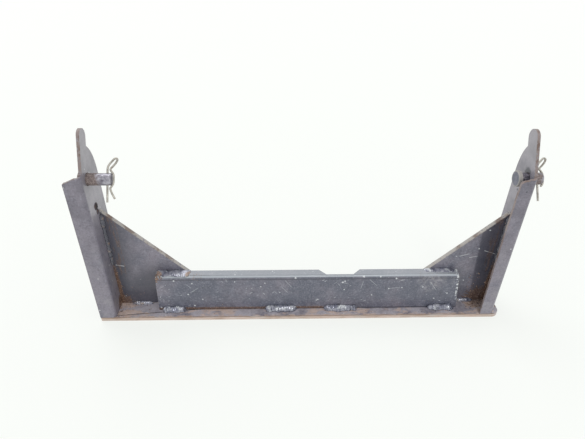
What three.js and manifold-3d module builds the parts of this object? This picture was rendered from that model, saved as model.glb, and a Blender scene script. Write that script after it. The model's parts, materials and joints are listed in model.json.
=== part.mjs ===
// A pin-on quick coupler frame: a flat base bar with a bent-plate crossbar, two triangular
// gussets and two bent brackets welded to it. Each bracket ends in a rounded guide finger and
// carries a loose headed pin, which a spring clip keeps in its bore.
//
// Millimetres, +Z up, -Y is the front. The origin is on the underside of the base bar, half way
// between the two bracket corners and half way back.
import * as THREE from "three";
import { mergeVertices } from "three/addons/utils/BufferGeometryUtils.js";
import Module from "manifold-3d";

const wasm = await Module();
wasm.setup();

// ---------- Driving dimensions ----------

// Base bar: 3 in flat bar, rounded at its right front corner.
const BASE_THICKNESS = 8;
const BASE_DEPTH = 76.2;
const BASE_PAST_RIGHT_BRACKET = 12.5;
const BASE_FRONT_CORNER = 14;
const BASE_SMALL_CORNER = 2;

// Brackets: both are bent the same way, and each was cut by hand, so they differ a little.
// Their heights are from the top of the base bar, and their pitch is from corner to corner.
const BRACKET_PITCH = 689;
const BRACKET_HEIGHT = 285;
const PLATE = 4.76;
const BEND_INSIDE = 2.24;
const CORNER_RISE = 4;
const CORNER_RUN = 10.5;
const LEFT_BRACKET = {
  flangeWidth: 28.5,
  flangeCut: 0,
  freeEdgeDrop: 7,
  freeCorner: 3,
  webDepth: 70,
  fingerWidth: 24,
  fingerRise: 61,
  fingerSetback: 4,
};
const RIGHT_BRACKET = {
  flangeWidth: 25,
  flangeCut: 3,
  freeEdgeDrop: 2,
  freeCorner: 10,
  webDepth: 65,
  fingerWidth: 27,
  fingerRise: 61.5,
  fingerSetback: 0,
};

// The guide finger on top of each bracket leans back, in degrees, and has a round tip.
const FINGER_LEAN = 25;
const FINGER_HEEL_RISE = 31;
const SHOULDER_DROP = 23;
const SHOULDER_FULLNESS = 36;

// Crossbar: a plate bent to a tall front leg and a narrow top lip. Its ends stop short of the
// brackets, by these gaps at its foot and at its top.
const CROSSBAR_SETBACK = 19.4;
const CROSSBAR_HEIGHT = 78;
const CROSSBAR_PLATE = 4.76;
const CROSSBAR_BEND_INSIDE = 1.24;
const CROSSBAR_LIP = 17.9;
const CROSSBAR_LEFT_GAP = { foot: 73, top: 75.5 };
const CROSSBAR_RIGHT_GAP = { foot: 59.24, top: 68.24 };
const NOTCH_CENTRE = 57.5;
const NOTCH_FLOOR = 48;

// Gussets: triangles with a 45 degree slope, which stand behind the crossbar lip.
const GUSSET_PLATE = 8;
const LEFT_GUSSET = { rise: 206, tip: 10 };
const RIGHT_GUSSET = { rise: 198, tip: 10 };
const GUSSET_CLEARANCE = 0.3;

// Pins: 3/4 in headed pins with a cross hole for the spring clip.
const PIN_RADIUS = 9.525;
const PIN_CHAMFER = 1.2;
const PIN_HEAD_RADIUS = 13;
const PIN_HEAD = 6;
const PIN_HEAD_CHAMFER = 0.8;
const PIN_SETBACK = 26.3;
const PIN_DROP = 14;
const BORE_CLEARANCE = 0.8;
const CROSS_HOLE_FROM_END = 7;
const CROSS_HOLE_CLEARANCE = 0.5;
const LEFT_PIN = { length: 42.5, headGap: 0.5, lean: 36 };
const RIGHT_PIN = { length: 35.5, headGap: 11.5, lean: 38 };

// Spring clips: 1/8 in wire. Heights are along the straight leg, from the pin's axis.
const WIRE_RADIUS = 1.6;
const CLIP_LEG_BELOW = 35.6;
const CLIP_LEG_ABOVE = 19;
const CLIP_LOOP_HEIGHT = 34;
const CLIP_LOOP_REACH = 14.6;
const CLIP_NECK = 4.4;
// How far the leg that passes the pin's end goes below the axis, and how far its tip spreads.
const LEFT_CLIP_TIP = { drop: 30.5, flare: 3.4 };
const RIGHT_CLIP_TIP = { drop: 13, flare: 1.2 };
const CLIP_END_GAP = 0.3;

// Weld beads: the leg length of each fillet, and where each one starts and stops.
const FOOT_BEAD = 7;
const GUSSET_BEAD = 5;
const LIP_BEAD = { forward: 12, up: 3, pastGusset: 11, fromLeftEnd: 1, fromRightEnd: 4 };
const BEAD_BULGE = 0.35;
const FOOT_STITCHES = [
  { from: "left end", start: 7.5, length: 42 },
  { from: "middle", start: -76, length: 58 },
  { from: "middle", start: 32, length: 62 },
  { from: "right end", start: -54.5, length: 50 },
];
const GUSSET_FOOT_WELD = { start: 22, length: 38 };
const GUSSET_REAR_WELD = { start: 12, length: 84 };
const SIDE_WELD = { bottom: 92, belowCorner: 7 };
const BRACKET_WELD_STOP = 6;

// ---------- Derived places ----------

const HALF_PITCH = BRACKET_PITCH / 2;
const LEFT_WEB_INNER = -HALF_PITCH;
const LEFT_WEB_OUTER = LEFT_WEB_INNER - PLATE;
const RIGHT_WEB_OUTER = HALF_PITCH;
const RIGHT_WEB_INNER = RIGHT_WEB_OUTER - PLATE;
const BEND_RADIUS = PLATE + BEND_INSIDE;
const PIN_HEIGHT = BRACKET_HEIGHT - PIN_DROP;
const FRONT_Y = -BASE_DEPTH / 2;
const CROSSBAR_Y = FRONT_Y + CROSSBAR_SETBACK;
const CROSSBAR_BEND = CROSSBAR_PLATE + CROSSBAR_BEND_INSIDE;
const CROSSBAR_LEFT = {
  foot: LEFT_WEB_INNER + CROSSBAR_LEFT_GAP.foot,
  top: LEFT_WEB_INNER + CROSSBAR_LEFT_GAP.top,
};
const CROSSBAR_RIGHT = {
  foot: RIGHT_WEB_INNER - CROSSBAR_RIGHT_GAP.foot,
  top: RIGHT_WEB_INNER - CROSSBAR_RIGHT_GAP.top,
};
const GUSSET_Y = CROSSBAR_Y + CROSSBAR_LIP + GUSSET_CLEARANCE;
const GUSSET_REAR_Y = GUSSET_Y + GUSSET_PLATE;
const LEAN = THREE.MathUtils.degToRad(FINGER_LEAN);
const ROUND_STEPS = 10;
// How far a cutting solid runs past the faces that it cuts.
const CUT_PAST = 1;

const PAINT = { color: 0x4c515c, roughness: 0.5, metalness: 0.3 };
const WELD = { color: 0x5b606c, roughness: 0.4, metalness: 0.4 };
const PIN_STEEL = { color: 0x6e6a6c, roughness: 0.4, metalness: 0.8 };
const ZINC_WIRE = { color: 0x9a938a, roughness: 0.45, metalness: 0.8 };

// ---------- Solids ----------

function toSolid(geometry) {
  const bare = geometry.index ? geometry.toNonIndexed() : geometry.clone();
  bare.deleteAttribute("normal");
  bare.deleteAttribute("uv");
  const merged = mergeVertices(bare, 1e-4);
  return new wasm.Manifold(
    new wasm.Mesh({
      numProp: 3,
      vertProperties: new Float32Array(merged.attributes.position.array),
      triVerts: new Uint32Array(merged.index.array),
    }),
  );
}

function toGeometry(solid) {
  const mesh = solid.getMesh();
  const geometry = new THREE.BufferGeometry();
  geometry.setAttribute("position", new THREE.BufferAttribute(mesh.vertProperties, 3));
  geometry.setIndex(new THREE.BufferAttribute(mesh.triVerts, 1));
  geometry.computeVertexNormals();
  return geometry;
}

function prism(shape, length) {
  const options = { depth: length, bevelEnabled: false, curveSegments: ROUND_STEPS };
  return new THREE.ExtrudeGeometry(shape, options);
}

// A side profile, drawn in Y and Z, carried along X from x0 to x1.
function alongX(shape, x0, x1) {
  const geometry = prism(shape, x1 - x0);
  const turn = new THREE.Matrix4().makeBasis(
    new THREE.Vector3(0, 1, 0),
    new THREE.Vector3(0, 0, 1),
    new THREE.Vector3(1, 0, 0),
  );
  return geometry.applyMatrix4(turn).translate(x0, 0, 0);
}

// A front profile, drawn in X and Z, carried back along Y from y0 to y1.
function alongY(shape, y0, y1) {
  const geometry = prism(shape, y1 - y0);
  const turn = new THREE.Matrix4().makeBasis(
    new THREE.Vector3(1, 0, 0),
    new THREE.Vector3(0, 0, 1),
    new THREE.Vector3(0, -1, 0),
  );
  return geometry.applyMatrix4(turn).translate(0, y1, 0);
}

// A plan profile, drawn in X and Y, carried up along Z from z0 to z1.
function alongZ(shape, z0, z1) {
  return prism(shape, z1 - z0).translate(0, 0, z0);
}

function polygon(points) {
  return new THREE.Shape(points.map(([a, b]) => new THREE.Vector2(a, b)));
}

function named(name, geometry, look) {
  const mesh = new THREE.Mesh(geometry, new THREE.MeshStandardMaterial(look));
  mesh.name = name;
  return mesh;
}

// ---------- Base bar ----------

function basePlate() {
  const left = LEFT_WEB_INNER - LEFT_BRACKET.flangeWidth;
  const right = RIGHT_WEB_OUTER + BASE_PAST_RIGHT_BRACKET;
  const small = BASE_SMALL_CORNER;
  const large = BASE_FRONT_CORNER;
  const plan = new THREE.Shape();
  plan.moveTo(left + small, 0);
  plan.lineTo(right - large, 0);
  plan.absarc(right - large, large, large, -Math.PI / 2, 0, false);
  plan.lineTo(right, BASE_DEPTH - small);
  plan.absarc(right - small, BASE_DEPTH - small, small, 0, Math.PI / 2, false);
  plan.lineTo(left + small, BASE_DEPTH);
  plan.absarc(left + small, BASE_DEPTH - small, small, Math.PI / 2, Math.PI, false);
  plan.lineTo(left, small);
  plan.absarc(left + small, small, small, Math.PI, Math.PI * 1.5, false);
  return named("base_plate", alongZ(plan, 0, BASE_THICKNESS), PAINT);
}

// ---------- Crossbar ----------

function crossbar() {
  const inner = CROSSBAR_BEND_INSIDE;
  const bendZ = CROSSBAR_HEIGHT - CROSSBAR_BEND;
  const side = new THREE.Shape();
  side.moveTo(0, 0);
  side.lineTo(CROSSBAR_PLATE, 0);
  side.lineTo(CROSSBAR_PLATE, bendZ);
  side.absarc(CROSSBAR_BEND, bendZ, inner, Math.PI, Math.PI / 2, true);
  side.lineTo(CROSSBAR_LIP, CROSSBAR_HEIGHT - CROSSBAR_PLATE);
  side.lineTo(CROSSBAR_LIP, CROSSBAR_HEIGHT);
  side.lineTo(CROSSBAR_BEND, CROSSBAR_HEIGHT);
  side.absarc(CROSSBAR_BEND, bendZ, CROSSBAR_BEND, Math.PI / 2, Math.PI, false);
  const left = Math.min(CROSSBAR_LEFT.foot, CROSSBAR_LEFT.top);
  const right = Math.max(CROSSBAR_RIGHT.foot, CROSSBAR_RIGHT.top);
  const bar = toSolid(alongX(side, left, right));

  const ends = polygon([
    [CROSSBAR_LEFT.foot, 0],
    [CROSSBAR_RIGHT.foot, 0],
    [CROSSBAR_RIGHT.top, CROSSBAR_HEIGHT],
    [CROSSBAR_LEFT.top, CROSSBAR_HEIGHT],
  ]);
  const trimmed = bar.intersect(toSolid(alongY(ends, -CUT_PAST, CROSSBAR_LIP + CUT_PAST)));

  // The notch takes the lip away as far as the back of the front leg, with 45 degree flanks.
  const half = NOTCH_FLOOR / 2;
  const past = CROSSBAR_LIP - CROSSBAR_PLATE + CUT_PAST;
  const notch = polygon([
    [NOTCH_CENTRE - half, CROSSBAR_PLATE],
    [NOTCH_CENTRE + half, CROSSBAR_PLATE],
    [NOTCH_CENTRE + half + past, CROSSBAR_PLATE + past],
    [NOTCH_CENTRE - half - past, CROSSBAR_PLATE + past],
  ]);
  const cut = toSolid(alongZ(notch, CROSSBAR_HEIGHT / 2, CROSSBAR_HEIGHT + CUT_PAST));
  const mesh = named("crossbar", toGeometry(trimmed.subtract(cut)), PAINT);
  mesh.position.set(0, CROSSBAR_Y, BASE_THICKNESS);
  return mesh;
}

// ---------- Brackets ----------

// The flange and the bend: x = 0 is the corner's right face, y = 0 its front face.
function flangeAndBend(form) {
  const plan = new THREE.Shape();
  plan.moveTo(-form.flangeWidth, 0);
  plan.lineTo(-BEND_RADIUS, 0);
  plan.absarc(-BEND_RADIUS, BEND_RADIUS, BEND_RADIUS, -Math.PI / 2, 0, false);
  plan.lineTo(0, BEND_RADIUS + CUT_PAST);
  plan.lineTo(-PLATE, BEND_RADIUS + CUT_PAST);
  plan.lineTo(-PLATE, BEND_RADIUS);
  plan.absarc(-BEND_RADIUS, BEND_RADIUS, BEND_INSIDE, 0, -Math.PI / 2, true);
  plan.lineTo(-form.flangeWidth, PLATE);

  const top = BRACKET_HEIGHT - form.flangeCut;
  const freeTop = top - form.freeEdgeDrop;
  const front = new THREE.Shape();
  front.moveTo(-form.flangeWidth, 0);
  front.lineTo(0, 0);
  front.lineTo(0, top + CORNER_RISE);
  front.quadraticCurveTo(-CORNER_RUN / 3, top, -CORNER_RUN, top);
  front.lineTo(-form.flangeWidth + form.freeCorner, freeTop);
  front.quadraticCurveTo(-form.flangeWidth, freeTop, -form.flangeWidth, freeTop - form.freeCorner);

  const tall = toSolid(alongZ(plan, 0, top + CORNER_RISE));
  return tall.intersect(toSolid(alongY(front, -CUT_PAST, BEND_RADIUS + 2 * CUT_PAST)));
}

// The upright web with its shoulder and its guide finger, from the bend backwards.
function webOutline(form) {
  const along = new THREE.Vector2(Math.sin(LEAN), Math.cos(LEAN));
  const across = new THREE.Vector2(Math.cos(LEAN), -Math.sin(LEAN));
  const radius = form.fingerWidth / 2;
  const cornerZ = BRACKET_HEIGHT - form.flangeCut + CORNER_RISE;
  const corner = new THREE.Vector2(BEND_RADIUS, cornerZ);
  const root = corner.clone().setX(BEND_RADIUS + form.fingerSetback);
  const centreZ = BRACKET_HEIGHT + form.fingerRise - radius;
  const reach = (centreZ - root.y + radius * Math.sin(LEAN)) / Math.cos(LEAN);
  const tip = root.clone().addScaledVector(along, reach).addScaledVector(across, radius);
  const heelZ = BRACKET_HEIGHT + FINGER_HEEL_RISE;
  const heelReach = (heelZ - tip.y + radius * Math.sin(LEAN)) / Math.cos(LEAN);
  const heel = tip.clone().addScaledVector(across, radius).addScaledVector(along, heelReach);

  const shoulderZ = BRACKET_HEIGHT - SHOULDER_DROP;

  const web = new THREE.Shape();
  web.moveTo(BEND_RADIUS, 0);
  web.lineTo(form.webDepth, 0);
  web.lineTo(form.webDepth, shoulderZ);
  web.quadraticCurveTo(form.webDepth, shoulderZ + SHOULDER_FULLNESS, heel.x, heel.y);
  web.absarc(tip.x, tip.y, radius, -LEAN, Math.PI - LEAN, false);
  web.lineTo(root.x, root.y);
  web.lineTo(corner.x, corner.y);
  return web;
}

function bracket(name, form) {
  const web = toSolid(alongX(webOutline(form), -PLATE, 0));
  const boreRadius = PIN_RADIUS + BORE_CLEARANCE;
  const drill = new THREE.Shape();
  drill.absarc(PIN_SETBACK, PIN_HEIGHT, boreRadius, 0, 2 * Math.PI, false);
  const bore = toSolid(alongX(drill, -PLATE - CUT_PAST, CUT_PAST));
  const solid = flangeAndBend(form).add(web).subtract(bore);
  return named(name, toGeometry(solid), PAINT);
}

// ---------- Gussets ----------

// x = 0 stands against the bracket, and the 45 degree slope falls away along +X or -X.
function gusset(name, form, direction) {
  const run = direction * (form.rise - form.tip);
  const corners = [
    [0, 0],
    [run, 0],
    [run, form.tip],
    [0, form.rise],
  ];
  const shape = polygon(direction > 0 ? corners : corners.reverse());
  return named(name, alongY(shape, 0, GUSSET_PLATE), PAINT);
}

// ---------- Pins and spring clips ----------

// x = 0 is the bearing face under the head, the cross hole is along Z.
function pin(name, length) {
  const rim = PIN_HEAD_RADIUS - PIN_HEAD_CHAMFER;
  const profile = [
    [0, -PIN_HEAD],
    [rim, -PIN_HEAD],
    [PIN_HEAD_RADIUS, PIN_HEAD_CHAMFER - PIN_HEAD],
    [PIN_HEAD_RADIUS, 0],
    [PIN_RADIUS, 0],
    [PIN_RADIUS, length - PIN_CHAMFER],
    [PIN_RADIUS - PIN_CHAMFER, length],
    [0, length],
  ].map(([radius, along]) => new THREE.Vector2(radius, along));
  const turn = new THREE.Matrix4().makeBasis(
    new THREE.Vector3(0, 1, 0),
    new THREE.Vector3(1, 0, 0),
    new THREE.Vector3(0, 0, -1),
  );
  const body = toSolid(new THREE.LatheGeometry(profile, 32).applyMatrix4(turn));
  const drill = new THREE.Shape();
  const holeX = length - CROSS_HOLE_FROM_END;
  drill.absarc(holeX, 0, WIRE_RADIUS + CROSS_HOLE_CLEARANCE, 0, 2 * Math.PI, false);
  const hole = toSolid(alongZ(drill, -PIN_RADIUS - CUT_PAST, PIN_RADIUS + CUT_PAST));
  return named(name, toGeometry(body.subtract(hole)), PIN_STEEL);
}

// x = 0 is the straight leg, which goes through the cross hole. The other leg comes in to a
// neck above the pin, passes the pin's end face and spreads at its tip.
function springClip(name, tip) {
  const endLeg = CROSS_HOLE_FROM_END + WIRE_RADIUS + CLIP_END_GAP;
  const route = [
    [0, -CLIP_LEG_BELOW],
    [0, -CLIP_LEG_BELOW / 2],
    [0, 0],
    [0, 0.7 * CLIP_LEG_ABOVE],
    [0.8, CLIP_LEG_ABOVE],
    [4.2, CLIP_LEG_ABOVE + 5],
    [CLIP_LOOP_REACH - 6.5, CLIP_LOOP_HEIGHT - 4.5],
    [CLIP_LOOP_REACH - 1.2, CLIP_LOOP_HEIGHT - 1.6],
    [CLIP_LOOP_REACH + 1.1, CLIP_LOOP_HEIGHT - 4.6],
    [CLIP_LOOP_REACH - 1.6, CLIP_LOOP_HEIGHT - 9],
    [CLIP_NECK + 4.2, CLIP_LEG_ABOVE + 1],
    [CLIP_NECK + 0.6, PIN_RADIUS + 5.5],
    [CLIP_NECK + 1.1, PIN_RADIUS + 3],
    [endLeg - 0.4, PIN_RADIUS + 0.6],
    [endLeg, PIN_RADIUS - 2],
    [endLeg, 0],
    [endLeg, -0.4 * tip.drop],
    [endLeg + 0.3 * tip.flare, -0.7 * tip.drop],
    [endLeg + tip.flare, -tip.drop],
  ].map(([x, z]) => new THREE.Vector3(x, 0, z));
  const wire = new THREE.Shape();
  wire.absarc(0, 0, WIRE_RADIUS, 0, 2 * Math.PI, false);
  const geometry = new THREE.ExtrudeGeometry(wire, {
    extrudePath: new THREE.CatmullRomCurve3(route, false, "centripetal"),
    steps: 72,
    curveSegments: 5,
  });
  return named(name, geometry, ZINC_WIRE);
}

// A pin with its clip, turned about the pin's axis so that the clip leans back.
function pinAssembly(side, place, tip) {
  const group = new THREE.Group();
  const clip = springClip(side + "_clip", tip);
  clip.position.x = place.length - CROSS_HOLE_FROM_END;
  group.add(pin(side + "_pin", place.length), clip);
  group.rotation.x = -THREE.MathUtils.degToRad(place.lean);
  return group;
}

// ---------- Weld beads ----------

// A fillet section in its corner at (0, 0), with legs along +a and +b and a bulged face.
function beadSection(leg) {
  const middle = leg * (0.5 + BEAD_BULGE / 2);
  const section = new THREE.Shape();
  section.moveTo(0, 0);
  section.lineTo(leg, 0);
  section.quadraticCurveTo(middle, middle, 0, leg);
  return section;
}

// A fillet section with its first leg along -a.
function mirroredBeadSection(leg, height = leg) {
  const share = 0.5 + BEAD_BULGE / 2;
  const section = new THREE.Shape();
  section.moveTo(0, 0);
  section.lineTo(0, height);
  section.quadraticCurveTo(-share * leg, share * height, -leg, 0);
  return section;
}

// A bead of this section along X, in the corner at y and z.
function beadAlongX(name, section, x0, x1, y, z) {
  const mesh = named(name, alongX(section, x0, x1), WELD);
  mesh.position.set(0, y, z);
  return mesh;
}

// Stitch welds at the crossbar's foot. The outer two follow its ends.
function footStitch(stitch, index) {
  const origins = { "left end": CROSSBAR_LEFT.foot, middle: 0, "right end": CROSSBAR_RIGHT.foot };
  const x0 = origins[stitch.from] + stitch.start;
  const x1 = x0 + stitch.length;
  const name = "weld_crossbar_foot_" + (index + 1);
  return beadAlongX(name, mirroredBeadSection(FOOT_BEAD), x0, x1, CROSSBAR_Y, BASE_THICKNESS);
}

// Welds that tie the crossbar's lip to the gussets. Each one runs a little way past its gusset.
function lipBeads() {
  const beadTop = CROSSBAR_HEIGHT + LIP_BEAD.up - LIP_BEAD.pastGusset;
  const runs = [
    [
      "weld_lip_left",
      CROSSBAR_LEFT.top + LIP_BEAD.fromLeftEnd,
      LEFT_WEB_INNER + LEFT_GUSSET.rise - beadTop,
    ],
    [
      "weld_lip_right",
      RIGHT_WEB_INNER - RIGHT_GUSSET.rise + beadTop,
      CROSSBAR_RIGHT.top - LIP_BEAD.fromRightEnd,
    ],
  ];
  const section = mirroredBeadSection(LIP_BEAD.forward, LIP_BEAD.up);
  const lipTop = BASE_THICKNESS + CROSSBAR_HEIGHT;
  return runs.map(([name, x0, x1]) => beadAlongX(name, section, x0, x1, GUSSET_Y, lipTop));
}

// The welds of one gusset: at its foot in front and behind, and up its front against the web.
// face is the web's inner face, and direction is the way in which the gusset runs from it.
function gussetBeads(side, form, face, direction) {
  const span = (start, length) => {
    const ends = [face + direction * start, face + direction * (start + length)];
    return ends.sort((a, b) => a - b);
  };
  const front = span(GUSSET_FOOT_WELD.start, GUSSET_FOOT_WELD.length);
  const rear = span(GUSSET_REAR_WELD.start, GUSSET_REAR_WELD.length);
  const frontSection = mirroredBeadSection(GUSSET_BEAD);
  const rearSection = beadSection(GUSSET_BEAD);
  const label = "weld_" + side + "_gusset_";
  const height = form.rise - SIDE_WELD.belowCorner - SIDE_WELD.bottom;
  const upright = direction > 0 ? rearSection : frontSection;
  const geometry = alongZ(upright, 0, height).rotateX(Math.PI).translate(0, 0, height);
  const sideBead = named(label + "side", geometry, WELD);
  sideBead.position.set(face, GUSSET_Y, BASE_THICKNESS + SIDE_WELD.bottom);
  return [
    beadAlongX(label + "foot", frontSection, ...front, GUSSET_Y, BASE_THICKNESS),
    beadAlongX(label + "rear", rearSection, ...rear, GUSSET_REAR_Y, BASE_THICKNESS),
    sideBead,
  ];
}

// A weld along the outside of a web's foot, as far back as both the web and the base go.
function bracketFootBead(side, form, x, direction) {
  const section = direction > 0 ? beadSection(FOOT_BEAD) : mirroredBeadSection(FOOT_BEAD);
  const front = FRONT_Y + BASE_FRONT_CORNER;
  const back = FRONT_Y + Math.min(form.webDepth, BASE_DEPTH) - BRACKET_WELD_STOP;
  const mesh = named("weld_" + side + "_bracket_foot", alongY(section, front, back), WELD);
  mesh.position.set(x, 0, BASE_THICKNESS);
  return mesh;
}

// ---------- The assembly ----------

const coupler = new THREE.Group();

const base = basePlate();
base.position.set(0, FRONT_Y, 0);
coupler.add(base, crossbar());

const leftBracket = bracket("left_bracket", LEFT_BRACKET);
leftBracket.position.set(LEFT_WEB_INNER, FRONT_Y, BASE_THICKNESS);
const rightBracket = bracket("right_bracket", RIGHT_BRACKET);
rightBracket.position.set(RIGHT_WEB_OUTER, FRONT_Y, BASE_THICKNESS);
coupler.add(leftBracket, rightBracket);

const leftGusset = gusset("left_gusset", LEFT_GUSSET, 1);
leftGusset.position.set(LEFT_WEB_INNER, GUSSET_Y, BASE_THICKNESS);
const rightGusset = gusset("right_gusset", RIGHT_GUSSET, -1);
rightGusset.position.set(RIGHT_WEB_INNER, GUSSET_Y, BASE_THICKNESS);
coupler.add(leftGusset, rightGusset);

const PIN_Y = FRONT_Y + PIN_SETBACK;
const PIN_Z = BASE_THICKNESS + PIN_HEIGHT;
const leftPin = pinAssembly("left", LEFT_PIN, LEFT_CLIP_TIP);
leftPin.position.set(LEFT_WEB_OUTER - LEFT_PIN.headGap, PIN_Y, PIN_Z);
const rightPin = pinAssembly("right", RIGHT_PIN, RIGHT_CLIP_TIP);
rightPin.position.set(RIGHT_WEB_INNER - RIGHT_PIN.headGap, PIN_Y, PIN_Z);
coupler.add(leftPin, rightPin);

coupler.add(
  ...FOOT_STITCHES.map(footStitch),
  ...lipBeads(),
  ...gussetBeads("left", LEFT_GUSSET, LEFT_WEB_INNER, 1),
  ...gussetBeads("right", RIGHT_GUSSET, RIGHT_WEB_INNER, -1),
  bracketFootBead("left", LEFT_BRACKET, LEFT_WEB_OUTER, -1),
  bracketFootBead("right", RIGHT_BRACKET, RIGHT_WEB_OUTER, 1),
);

export default coupler;
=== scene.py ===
# %% [markdown]
# # A worn pin-on quick coupler
#
# The frame that comes in is the engineering model: a flat base bar, a bent crossbar, two
# gussets, two bent brackets, headed pins, spring clips and the weld beads. It has the right
# sizes and it moves, but its edges are razor sharp, its welds are smooth prisms and nothing
# has been painted. This script gives every piece the surface that years of use left on it.
#
# Each piece is refined as a copy that stays where the original is. Nothing made here may
# leave it.

# %% The frame
import json
import math
import random

import bmesh
import bpy
from mathutils import Matrix, Vector, noise


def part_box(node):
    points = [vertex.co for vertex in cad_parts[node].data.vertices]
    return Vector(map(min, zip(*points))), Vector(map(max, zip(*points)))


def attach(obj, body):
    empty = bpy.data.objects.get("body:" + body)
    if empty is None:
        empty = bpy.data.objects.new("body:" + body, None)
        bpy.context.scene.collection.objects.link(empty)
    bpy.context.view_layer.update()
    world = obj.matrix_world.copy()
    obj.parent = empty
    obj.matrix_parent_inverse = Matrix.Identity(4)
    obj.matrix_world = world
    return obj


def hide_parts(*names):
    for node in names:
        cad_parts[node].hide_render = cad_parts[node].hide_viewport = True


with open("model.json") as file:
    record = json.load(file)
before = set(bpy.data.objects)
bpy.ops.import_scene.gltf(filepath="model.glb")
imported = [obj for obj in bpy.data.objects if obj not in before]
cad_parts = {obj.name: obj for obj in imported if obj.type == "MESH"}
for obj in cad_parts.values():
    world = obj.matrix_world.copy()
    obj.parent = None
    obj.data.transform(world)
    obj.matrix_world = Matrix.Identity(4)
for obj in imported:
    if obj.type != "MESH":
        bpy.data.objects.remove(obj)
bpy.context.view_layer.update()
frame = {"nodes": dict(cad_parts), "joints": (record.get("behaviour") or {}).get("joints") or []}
MM = 0.001

base_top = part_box("base_plate")[1].z
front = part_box("base_plate")[0].y
bar_low, bar_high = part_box("crossbar")
gusset_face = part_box("left_gusset")[0].y
left_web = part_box("left_gusset")[0].x
right_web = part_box("right_gusset")[1].x
print("pieces that come in:", len(frame["nodes"]))

# %% [markdown]
# ## The camera
#
# A long, low object is best shown from above the eye line, so that the top faces show and
# the frame reads as a shape with depth. The camera stands in
# front, a little left of the middle, and looks down by about a third of a right angle. It
# also leans by one degree, as a hand-held camera does. Building its three axes from yaw,
# pitch and roll keeps those numbers readable, where a rotation matrix would not.

# %% Camera
CAMERA_PLACE = Vector((-0.0541, -0.6662, 0.6476))
CAMERA_YAW = math.radians(2.21)
CAMERA_PITCH = math.radians(34.18)
CAMERA_ROLL = math.radians(0.99)
SENSOR_MM = 36
LENS_MM = 29.63
NEAREST_SEEN = 0.01

looking = Vector((
    math.sin(CAMERA_YAW) * math.cos(CAMERA_PITCH),
    math.cos(CAMERA_YAW) * math.cos(CAMERA_PITCH),
    -math.sin(CAMERA_PITCH),
))
level = Vector((math.cos(CAMERA_YAW), -math.sin(CAMERA_YAW), 0))
upright = level.cross(looking)
across = math.cos(CAMERA_ROLL) * level + math.sin(CAMERA_ROLL) * upright
up = math.cos(CAMERA_ROLL) * upright - math.sin(CAMERA_ROLL) * level

camera = bpy.data.objects.new("camera", bpy.data.cameras.new("camera"))
bpy.context.scene.collection.objects.link(camera)
camera.data.sensor_width = SENSOR_MM
camera.data.lens = LENS_MM
camera.data.clip_start = NEAREST_SEEN
camera_axes = Matrix((across, up, -looking)).transposed().to_4x4()
camera.matrix_world = Matrix.Translation(CAMERA_PLACE) @ camera_axes
bpy.context.scene.camera = camera
print("camera looks along", tuple(round(v, 3) for v in looking))

# %% [markdown]
# ## The studio
#
# A pale floor that runs past the edges of the view, a nearly white surround and large soft
# lamps give the even light of a catalogue picture. Semi-gloss paint shows its surround more
# than its own colour, so the surround matters as much as the lamps: the upright webs look
# light because they mirror it, and a painted reflection in their paint adds to it. One wide
# lamp hangs above and behind on the left, which lays a faint soft shadow to the right, and a
# second one above the camera draws the bright line along the rounded top of the crossbar,
# over a painted highlight there.

# %% Studio
SURROUND = (0.95, 0.965, 0.95)
SURROUND_STRENGTH = 0.97
FLOOR_GLOW = (0.965, 0.985, 0.955)
FLOOR_GLOW_STRENGTH = 0.725
FLOOR_COLOR = (0.2, 0.205, 0.2)
LAMPS = [
    {"name": "overhead", "at": (-0.5, 0.55, 1.0), "spread": 40, "strength": 0.8},
    {"name": "front_top", "at": (0.15, -0.7, 1.0), "spread": 14, "strength": 0.45},
]


def hang_lamp(name, at, spread, strength):
    """A far lamp in the direction of at, as wide as spread degrees from the object."""
    lamp = bpy.data.objects.new(name, bpy.data.lights.new(name, "SUN"))
    lamp.data.angle = math.radians(spread)
    lamp.data.energy = strength
    lamp.rotation_euler = Vector(at).to_track_quat("Z", "Y").to_euler()
    bpy.context.scene.collection.objects.link(lamp)


for lamp in LAMPS:
    hang_lamp(**lamp)

world = bpy.data.worlds.new("surround")
world.use_nodes = True
world.node_tree.nodes["Background"].inputs["Color"].default_value = (*SURROUND, 1)
world.node_tree.nodes["Background"].inputs["Strength"].default_value = SURROUND_STRENGTH
bpy.context.scene.world = world
bpy.context.scene.view_settings.view_transform = "Standard"
print("lamps:", [lamp["name"] for lamp in LAMPS])

# %% [markdown]
# ## Shader maths that reads like maths
#
# A painted, scratched and rusted surface is a stack of masks: where it is worn, where it is
# chipped, where rust has spread. Each mask is a few sums on noise and position. Wiring every
# sum by hand hides the idea, so `Wire` wraps one output socket and adds a Math node for each
# `+`, `-`, `*`, `/`, and for `&` (the smaller of two masks) and `|` (the larger). Each has a
# reflected form too, so that a number may stand on the left, as in `1 - mask`.

# %% Wire
SMOOTH_STEP = {"interpolation_type": "SMOOTHSTEP"}


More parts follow.
